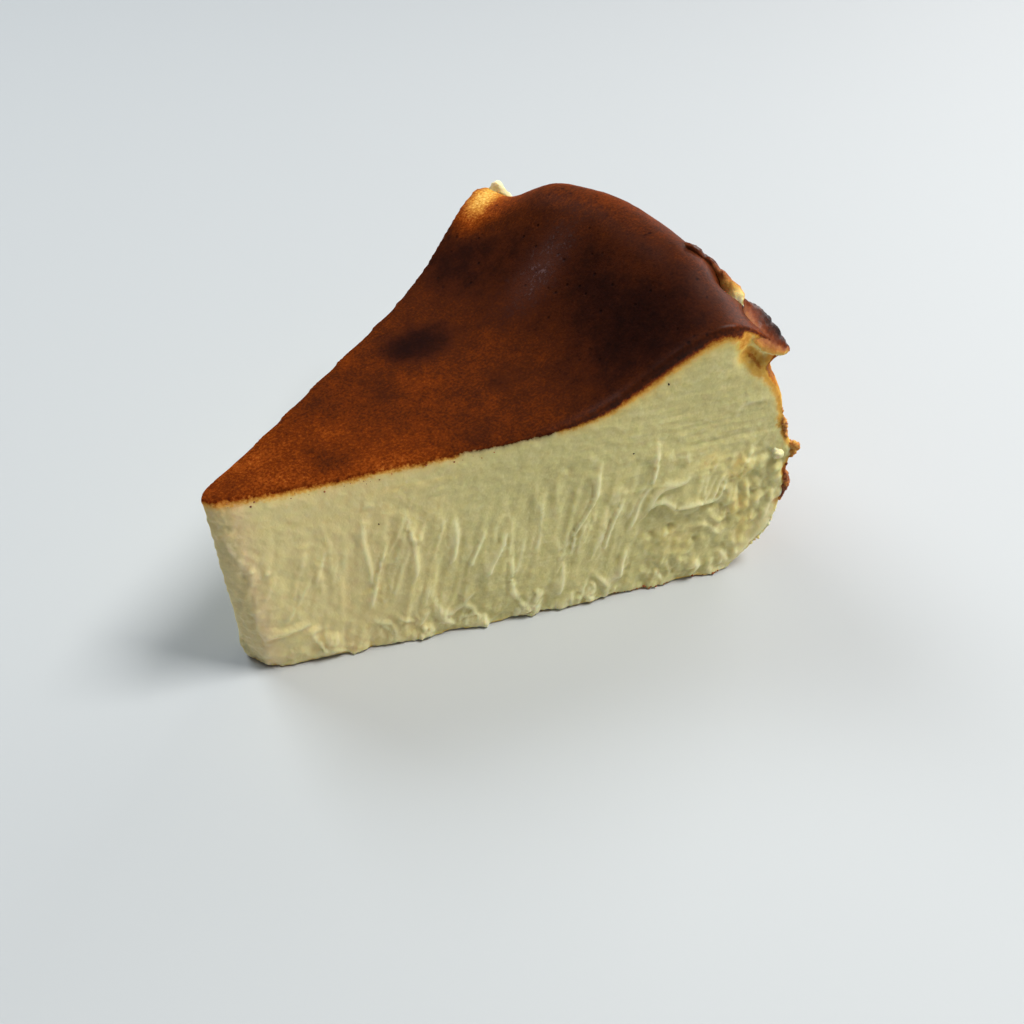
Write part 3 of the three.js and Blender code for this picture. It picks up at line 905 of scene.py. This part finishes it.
def crumb_grain_group():
    """Height of the fine grain of baked custard, in millimetres."""
    tree = bpy.data.node_groups.new("crumb_grain", "ShaderNodeTree")
    w = Wiring(tree)
    given = w.inputs(
        ("Place", "NodeSocketVector", None),
        ("Grain", "NodeSocketFloat", 0.1),
        ("Pores", "NodeSocketFloat", 0.16),
    )
    grain = w.times(w.noise(given["Place"], 0.5, 3.0, 0.7), given["Grain"])
    pores = w.times(w.noise(given["Place"], 1.6, 3.0, 0.6), given["Pores"])
    w.output("Height", "NodeSocketFloat", w.add(grain, pores))
    return tree


def new_finish(name):
    """An empty material, its wiring and its place on the piece in millimetres."""
    finish = bpy.data.materials.new(name)
    finish.use_nodes = True
    finish.node_tree.nodes.clear()
    w = Wiring(finish.node_tree)
    metres = w.node("ShaderNodeTexCoord").outputs["Object"]
    return finish, w, w.scaled(metres, 1.0 / MM)


def browned(w, browning, level):
    return w.node("ShaderNodeGroup", {"Level": level}, node_tree=browning).outputs["Colour"]


def bumped(w, crumb_grain, place, grain, strength, dents=0.0):
    """A normal with the fine grain of baked custard, and dents in millimetres."""
    feeds = {"Place": place, "Grain": grain, "Pores": 0.2}
    height = w.node("ShaderNodeGroup", feeds, node_tree=crumb_grain).outputs["Height"]
    feeds = {"Strength": strength, "Distance": MM, "Height": w.minus(height, dents)}
    return w.node("ShaderNodeBump", feeds).outputs[0]


def baked_custard(browning, crumb_grain):
    """For the whole slice: cream on the cuts, golden on the wall and burnt on top."""
    finish, w, place = new_finish("baked_custard")
    deep, burn, thick, bleed = w.marked("deep"), w.marked("burn"), w.marked("thick"), w.marked("bleed")
    wall, ridge, bakes, corner = w.marked("wall"), w.marked("ridge"), w.marked("bakes"), w.marked("corner")

    fine = w.noise(place, 0.9, 3.0, 0.6)
    mottle = w.noise(place, 3.2, 4.0, 0.6)
    patch = w.noise(place, 11.0, 3.0)
    speckle = w.noise(place, 0.45, 2.0, 0.6)
    pore = w.times(w.rest(w.between(w.cells(place, 2.6), 0.04, 0.17)), w.between(thick, 1.4, 2.2))
    calm = w.rest(w.times(w.between(burn, 0.70, 0.86), 0.55))
    grain = w.times(w.add(w.times(speckle, 0.34), w.times(fine, 0.20)), calm)
    level = w.add(burn, grain, w.times(mottle, 0.24), w.times(patch, 0.14), w.times(pore, 0.15))
    uneven = w.add(w.times(mottle, w.add(1.0, w.times(wall, 4.0))), w.times(fine, 0.8))
    past_core = w.largest(w.minus(deep, w.add(w.times(thick, 0.6), uneven)), 0.0)
    fade = w.maths("EXPONENT", w.over(past_core, w.add(w.times(bleed, -1.0), w.times(wall, -8.7))))
    golden = w.largest(w.between(wall, 0.05, 0.3), w.between(bleed, 0.46, 0.85))
    covered = w.times(fade, w.rest(golden))
    runs_in = w.largest(w.between(wall, 0.0, 0.05), w.between(bleed, 0.41, 0.46))
    crust_level = w.times(level, fade, runs_in)

    skin_depth = w.over(w.marked("rim"), w.marked("skin_width"))
    skin_depth = w.add(skin_depth, w.times(mottle, 2.0), w.times(fine, 1.2))
    near_wall = w.rest(w.between(skin_depth, 0.5, 1.7))
    skin_level = w.times(near_wall, w.add(w.marked("skin"), w.times(fine, 0.25), w.times(mottle, 0.2)))
    base_level = w.times(w.marked("base"), w.add(0.3, w.times(mottle, 0.5)))
    torn_level = w.times(bakes, w.add(1.0, w.times(fine, 0.9), w.times(mottle, 0.6)))
    blush = w.times(w.largest(w.add(w.times(mottle, 0.3), w.times(patch, 0.3)), 0.0), 0.12)
    brown = w.largest(blush, crust_level, skin_level, base_level, torn_level)
    colour = w.mixed(covered, browned(w, browning, brown), browned(w, browning, level))
    brown = w.largest(brown, w.times(level, covered))
    is_brown = w.between(brown, 0.3, 0.55)
    is_cream = w.rest(w.between(brown, 0.02, 0.25))

    curdle = w.noise(place, 1.8, 2.0, 0.55)
    wiped = w.noise(w.stretched(w.marked("cut_place", "Vector"), (9.0, 1.0, 0.8)), 1.0, 3.0, 0.6)
    streaky = w.add(w.times(curdle, 0.16), w.times(speckle, 0.10), w.times(wiped, 0.22))
    # Brighter on ridge crests and darker in troughs, partly paler smeared custard and partly painted
    # highlight and shade; brighter on the low front corner and on the torn patches, which is painted light.
    lift = w.add(1.0, w.times(ridge, 0.25), w.times(fine, 0.10), w.times(corner, 0.35))
    lift = w.add(lift, w.times(bakes, 1.6), w.times(streaky, is_cream))
    # Whiter on raised crests, partly paler smeared custard and partly painted highlight, and on the lowest
    # band of the cut as a painted highlight; whiter on the low front corner as painted light; the dabs are
    # the custard's own tone.
    low = w.rest(w.between(w.split(place)["Z"], 3.0, 9.0))
    raised = w.between(w.add(ridge, w.times(curdle, 0.5), w.times(low, 0.25)), 0.1, 0.8)
    dabs = w.times(w.between(curdle, -0.02, 0.2), is_cream)
    whiter = w.add(w.times(is_cream, raised, 0.55), w.times(dabs, 0.15), w.times(corner, 0.7))
    # A brighter, warmer tint near the tip and on the low front corner: painted light.
    painted_light_tint = w.times(w.add(w.marked("pale"), w.times(corner, 0.8)), is_cream)
    painted_light_tint = w.times(painted_light_tint, w.add(0.88, w.times(whiter, -0.5)))
    colour = w.mixed(whiter, w.scaled(colour, lift), (0.86, 0.80, 0.50))
    colour = w.mixed(painted_light_tint, colour, (1.0, 0.79, 0.385))
    # A lilac-grey tint on the toe: painted shade.
    colour = w.mixed(w.marked("toe"), colour, (1.0, 0.92, 1.02), "MULTIPLY")

    # Painted highlight: glints and a faint lavender sheen in the colour of a small patch of the top, besides
    # its coat.
    shining = w.times(w.marked("glint"), is_brown)
    sparks = w.between(w.add(fine, w.times(speckle, 0.6)), 0.04, 0.22)
    glints = w.times(shining, sparks, w.between(mottle, -0.12, 0.12))
    colour = w.mixed(w.add(w.times(glints, 0.42), w.times(shining, 0.12)), colour, (0.17, 0.09, 0.085))
    haze = w.times(w.marked("sheen"), is_brown, w.add(0.34, w.times(mottle, 0.25)))
    dry = w.largest(w.marked("crust"), w.times(wall, 0.6))
    grain = w.add(0.03, w.times(dry, 0.17))
    surface = w.node("ShaderNodeBsdfPrincipled", {
        "Base Color": colour,
        "Roughness": w.add(0.52, w.times(is_brown, -0.10), w.times(mottle, 0.25)),
        "Normal": bumped(w, crumb_grain, place, grain, 0.9, w.times(pore, dry, 0.2)),
        "Coat Weight": w.add(haze, w.times(glints, 0.12), w.times(is_cream, 0.08)),
        "Coat Roughness": 0.42,
        "Subsurface Weight": 0.7,
        "Subsurface Radius": (1.0, 0.7, 0.35),
        "Subsurface Scale": 1.5 * MM,
        "Specular IOR Level": 0.0,
    })
    w.node("ShaderNodeOutputMaterial", {"Surface": surface.outputs[0]})
    return finish


def browned_crumb(browning, crumb_grain):
    """For crumbs and torn bits, each as brown as its own mark says."""
    finish, w, place = new_finish("browned_crumb")
    brown = w.marked("brown")
    fine = w.noise(place, 0.7, 3.0, 0.6)
    mottle = w.noise(place, 2.4, 3.0, 0.6)
    is_brown = w.between(brown, 0.1, 0.5)
    uneven = w.add(w.times(fine, 0.30), w.times(mottle, 0.20))
    level = w.add(brown, w.times(uneven, w.add(0.3, w.times(is_brown, 0.7))))
    colour = w.scaled(browned(w, browning, level), w.add(1.1, w.times(fine, 0.3)))
    dusty = w.times(is_brown, w.minus(0.3, w.times(w.between(brown, 0.45, 0.65), 0.3)))
    unbaked = w.times(w.rest(w.between(brown, 0.01, 0.06)), 0.6)
    colour = w.mixed(dusty, colour, (0.42, 0.23, 0.14))
    surface = w.node("ShaderNodeBsdfPrincipled", {
        "Base Color": w.mixed(unbaked, colour, (0.92, 0.85, 0.56)),
        "Roughness": w.add(0.5, w.times(mottle, 0.3)),
        "Normal": bumped(w, crumb_grain, place, 0.16, 0.8),
        "Coat Weight": w.times(w.between(brown, 0.45, 0.8), 0.4),
        "Coat Roughness": 0.22,
        "Subsurface Weight": 0.5,
        "Subsurface Radius": (1.0, 0.6, 0.3),
        "Subsurface Scale": 0.8 * MM,
        "Specular IOR Level": 0.1,
    })
    w.node("ShaderNodeOutputMaterial", {"Surface": surface.outputs[0]})
    return finish


# The pieces

def dressed_slice(finish):
    """The whole skin of the slice, with its relief and finish."""
    solid = solid_skin()
    faces = SolidFaces(solid)
    skin = even_skin(solid)
    calm_facets(skin, faces)
    finer_front(skin, faces)
    calm_facets(skin, faces, 4)
    mark_skin(skin, faces)
    host = new_object("raw_slice", skin)
    strokes = stroke_object()
    mesh = grown(host, relief_tree(), {"Strokes": strokes, "Material": finish})
    bpy.data.objects.remove(host)
    bpy.data.objects.remove(strokes)
    mesh.shade_smooth()
    piece = new_object("cake_slice", mesh)
    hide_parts(NODE)
    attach(piece, "root")
    return piece


def on_cake(turn, reach, height):
    """A place by its turn from the front cut in degrees, distance from the tip and height."""
    angle = math.radians(turn) - HALF_ANGLE
    return np.array((reach * math.cos(angle), reach * math.sin(angle), height))


def torn_plate(skin, rows, thick, bulge):
    """Adds a ragged closed plate of crust to a bmesh, through rows of two edges."""
    brown = skin.verts.layers.float.get("brown") or skin.verts.layers.float.new("brown")
    edges = []
    for side in (0, 1):
        places = [on_cake(*row[side][:3]) for row in rows]
        levels = [row[side][3] for row in rows]
        edges.append(np.array([np.append(p, 0) for p in drawn(places, 6)]))
        at_rows = np.linspace(0, len(rows) - 1, len(edges[side]))
        edges[side][:, 3] = np.interp(at_rows, range(len(rows)), levels)
    across = 9
    share = np.linspace(0, 1, across)[None, :, None]
    grid = edges[0][:, None, :] * (1 - share) + edges[1][:, None, :] * share
    place = grid[:, :, :3]
    along_way, across_way = np.gradient(place, axis=0), np.gradient(place, axis=1)
    out = np.cross(along_way, across_way)
    out /= np.maximum(np.linalg.norm(out, axis=2, keepdims=True), 1e-9)
    out *= np.sign(out[..., 2].sum())
    count = len(place)
    steps = np.arange(count)
    from_ends = np.minimum(steps, count - 1 - steps)[:, None] / 3
    from_sides = np.minimum(share[..., 0], 1 - share[..., 0]) * 4
    body = thick * (0.45 + 0.55 * smooth(np.minimum(from_sides, from_ends), 0, 1))
    place = place + out * (bulge * np.sin(np.pi * share))
    sheets = []
    for face in (0.5, -0.5):
        sheet = place + out * (body * face)[..., None]
        corners = []
        for i in range(count):
            for j in range(across):
                p = sheet[i, j]
                rough = Vector(p * 0.75)
                p = p + 0.28 * np.array(field.noise_vector(rough))
                p = p + 0.22 * np.array(field.noise_vector(rough * 2.7))
                corner = skin.verts.new((p + APEX) * MM)
                corner[brown] = grid[i, j, 3] + (0 if face > 0 else -0.22)
                corners.append(corner)
        sheets.append(np.array(corners, dtype=object).reshape(count, across))
    upper, lower = sheets
    for i in range(count - 1):
        for j in range(across - 1):
            skin.faces.new((upper[i, j], upper[i + 1, j], upper[i + 1, j + 1], upper[i, j + 1]))
            skin.faces.new((lower[i, j], lower[i, j + 1], lower[i + 1, j + 1], lower[i + 1, j]))
    around = [(i, 0) for i in range(count)] + [(count - 1, j) for j in range(1, across)]
    around += [(i, across - 1) for i in range(count - 2, -1, -1)] + [(0, j) for j in range(across - 2, 0, -1)]
    for here, there in zip(around, around[1:] + around[:1]):
        skin.faces.new((upper[here], lower[here], lower[there], upper[there]))


def loose_piece(name, mesh):
    """A piece that lies on the slice and stands for no node of its own."""
    mesh.shade_smooth()
    piece = new_object(name, mesh)
    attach(piece, "root")
    return piece


def torn_crust(finish):
    """The bits of skin that stand away from the slice."""
    skin = bmesh.new()
    field.seed_set(PLATE_SEED)
    torn_plate(skin, CORNER_FLAP, 0.9, 0.25)
    torn_plate(skin, CROWN_LIP, 1.0, 0.0)
    torn_plate(skin, BACK_SPIKE, 1.6, 0.0)
    bmesh.ops.recalc_face_normals(skin, faces=skin.faces)
    mesh = bpy.data.meshes.new("torn_crust")
    skin.to_mesh(mesh)
    skin.free()
    mesh.materials.append(finish)
    return loose_piece("torn_crust", mesh)


def crumb_tree(name, fused):
    """Lumps on points, by the points' own sizes; fused ones run into each other."""
    tree = bpy.data.node_groups.new(name, "GeometryNodeTree")
    w = Wiring(tree)
    given = w.inputs(
        ("Geometry", "NodeSocketGeometry", None),
        ("Lumpiness", "NodeSocketFloat", 0.5),
        ("Fine Step", "NodeSocketFloat", 0.17 * MM),
        ("Seed", "NodeSocketInt", CRUMB_SEED),
        ("Material", "NodeSocketMaterial", None),
    )

    def scattered(low, high):
        feeds = {0: (low,) * 3, 1: (high,) * 3, "Seed": given["Seed"]}
        return w.node("FunctionNodeRandomValue", feeds, data_type="FLOAT_VECTOR").outputs[0]

    ball = w.node("GeometryNodeMeshIcoSphere", {"Radius": MM, "Subdivisions": 2}).outputs["Mesh"]
    spin = w.node("FunctionNodeEulerToRotation", {0: scattered(0.0, 6.28)}).outputs[0]
    scale = w.scaled(scattered(0.55, 1.35), w.named("size"))
    feeds = {"Points": given["Geometry"], "Instance": ball, "Rotation": spin, "Scale": scale}
    lumps = w.node("GeometryNodeInstanceOnPoints", feeds).outputs[0]
    real = w.node("GeometryNodeRealizeInstances", {"Geometry": lumps}).outputs[0]
    shape = real
    position = w.node("GeometryNodeInputPosition").outputs[0]
    if fused:
        feeds = {"Mesh": real, "Voxel Size": given["Fine Step"], "Interior Band Width": 0.4 * MM}
        volume = w.node("GeometryNodeMeshToVolume", feeds, resolution_mode="VOXEL_SIZE").outputs[0]
        feeds = {"Volume": volume, "Threshold": 0.1}
        joined = w.node("GeometryNodeVolumeToMesh", feeds, resolution_mode="GRID").outputs[0]
        feeds = {"Mesh": real, "Value": w.named("brown"), "Sample Position": position}
        brown = w.node("GeometryNodeSampleNearestSurface", feeds, data_type="FLOAT").outputs[0]
        feeds = {"Geometry": joined, "Name": "brown", "Value": brown}
        shape = w.node("GeometryNodeStoreNamedAttribute", feeds, data_type="FLOAT", domain="POINT").outputs[0]
    lump = w.times(w.noise(w.scaled(position, 1.0 / MM), 0.6, 3.0, 0.65), given["Lumpiness"], MM)
    normal = w.node("GeometryNodeInputNormal").outputs[0]
    feeds = {"Geometry": shape, "Offset": w.scaled(normal, lump)}
    moved = w.node("GeometryNodeSetPosition", feeds).outputs[0]
    done = w.node("GeometryNodeSetMaterial", {"Geometry": moved, "Material": given["Material"]}).outputs[0]
    w.output("Geometry", "NodeSocketGeometry", done)
    return tree


def crumb_seeds(mesh):
    """Places, sizes and browning of the crumbs that lie on the slice."""
    points = points_of(mesh)
    normals = np.array([corner.vector for corner in mesh.vertex_normals])
    x, y, z = points.T
    turn = np.degrees(np.arctan2(y, x) + HALF_ANGLE)
    along = along_front(x, y)
    marks = {}
    for name in ("cut", "wall", "deep"):
        marks[name] = np.empty(len(points), dtype=np.float32)
        mesh.attributes[name].data.foreach_get("value", marks[name])
    front = (marks["cut"] > 0.6) & (turn < 8)
    wall = marks["wall"] > 0.5
    draw = random.Random(CRUMB_SEED)

    def scatter(seeds, chosen, count, sizes, browns):
        places = np.flatnonzero(chosen)
        for _ in range(count):
            index, size = places[draw.randrange(len(places))], draw.uniform(*sizes)
            place = points[index] + normals[index] * size * draw.uniform(-0.7, 0.1)
            place[2] = max(place[2], 1.5 * size)
            seeds.append((place, size, draw.uniform(*browns)))

    clumps, specks = [], []
    for at_turn, height, out, wide, tall, count, largest, least, most in CRUMB_CLUMPS:
        for _ in range(count):
            aim_turn, aim_height = draw.gauss(at_turn, wide * 0.35), draw.gauss(height, tall * 0.6)
            nearest = np.argmin(np.where(wall, np.hypot(1.7 * (turn - aim_turn), z - aim_height), 1e3))
            mound = out * math.exp(-(((aim_height - height) / tall) ** 2))
            place = points[nearest] + normals[nearest] * draw.uniform(-0.2, mound)
            clumps.append((place, draw.uniform(0.25, largest), draw.uniform(least, most)))
    for s, h, size in CUT_CURDS:
        nearest = np.argmin(np.where(front, np.hypot(along - s, z - h), 1e3))
        clumps.append((points[nearest], size, 0.01))
    scatter(clumps, wall & (turn > 3) & (z < 46), 110, (0.25, 0.5), (0.30, 0.56))
    scatter(specks, front & (along > 68) & (along < 90) & (z < 0.7), 34, (0.12, 0.3), (0.36, 0.56))
    by_crust = front & (along < 60) & (marks["deep"] > 0.9) & (marks["deep"] < 2.4)
    scatter(specks, by_crust, 26, (0.08, 0.18), (0.38, 0.56))
    for s, h in BLACK_SPECKS:
        nearest = np.argmin(np.where(front, np.hypot(along - s, z - h), 1e3))
        specks.append((points[nearest] - normals[nearest] * 0.1, 0.26, 0.97))
    return clumps, specks


def crumbs(name, seeds, fused, lumpiness, finish):
    """A piece of crumbs at the places, sizes and browning given."""
    places, sizes, browns = zip(*seeds)
    mesh = bpy.data.meshes.new(name)
    mesh.from_pydata([(p + APEX) * MM for p in places], [], [])
    put_attribute(mesh, "size", sizes)
    put_attribute(mesh, "brown", browns)
    host = new_object(name + "_places", mesh)
    shape = grown(host, crumb_tree(name, fused), {"Lumpiness": lumpiness, "Material": finish})
    bpy.data.objects.remove(host)
    return loose_piece(name, shape)


# Studio and camera

def studio():
    """A pale floor, a soft room and three soft lights."""
    scene = bpy.context.scene
    floor_mesh = bpy.data.meshes.new("floor")
    corners = [(FLOOR_HALF * x, FLOOR_HALF * y, 0) for x, y in ((-1, -1), (1, -1), (1, 1), (-1, 1))]
    floor_mesh.from_pydata(corners, [], [(0, 1, 2, 3)])
    floor = new_object("floor", floor_mesh)
    paint = bpy.data.materials.new("pale_floor")
    paint.use_nodes = True
    surface = paint.node_tree.nodes["Principled BSDF"]
    surface.inputs["Base Color"].default_value = (0.50, 0.52, 0.53, 1)
    surface.inputs["Roughness"].default_value = 0.7
    floor_mesh.materials.append(paint)

    world = bpy.data.worlds.new("soft_room")
    world.use_nodes = True
    sky = world.node_tree.nodes["Background"]
    sky.inputs["Color"].default_value = (0.86, 0.93, 1.0, 1)
    sky.inputs["Strength"].default_value = 0.14
    scene.world = world

    for name, place, size, watts, colour in LIGHTS:
        light = bpy.data.lights.new(name, "AREA")
        light.size = size
        light.energy = watts
        light.color = colour
        lamp = new_object(name, light)
        lamp.location = place
        lamp.rotation_euler = (Vector((0, 0, 0.03)) - Vector(place)).to_track_quat("-Z", "Y").to_euler()
    scene.view_settings.view_transform = "Standard"


def camera():
    """Stands where the slice was photographed from."""
    pitch, roll = math.radians(CAMERA_PITCH), math.radians(CAMERA_ROLL)
    x, y = CAMERA_AHEAD
    right = Vector((y, -x, 0)).normalized()
    forward = Vector((x * math.cos(pitch), y * math.cos(pitch), -math.sin(pitch))).normalized()
    up = right.cross(forward)
    side = right * math.cos(roll) + up * math.sin(roll)
    rise = up * math.cos(roll) - right * math.sin(roll)
    eye = bpy.data.cameras.new("camera")
    eye.sensor_width = SENSOR
    eye.lens = SENSOR * FOCAL_PIXELS / PICTURE_PIXELS
    eye.clip_start = 0.01
    stand = new_object("camera", eye)
    turn = Matrix((side, rise, -forward)).transposed().to_4x4()
    stand.matrix_world = Matrix.Translation(CAMERA_PLACE) @ turn
    bpy.context.scene.camera = stand


camera()
studio()
browning, crumb_grain = browning_group(), crumb_grain_group()
crumb_finish = browned_crumb(browning, crumb_grain)
cake = dressed_slice(baked_custard(browning, crumb_grain))
torn_crust(crumb_finish)
clumps, specks = crumb_seeds(cake.data)
crumbs("skin_crumbs", clumps, True, 0.9, crumb_finish)
crumbs("specks", specks, False, 0.1, crumb_finish)
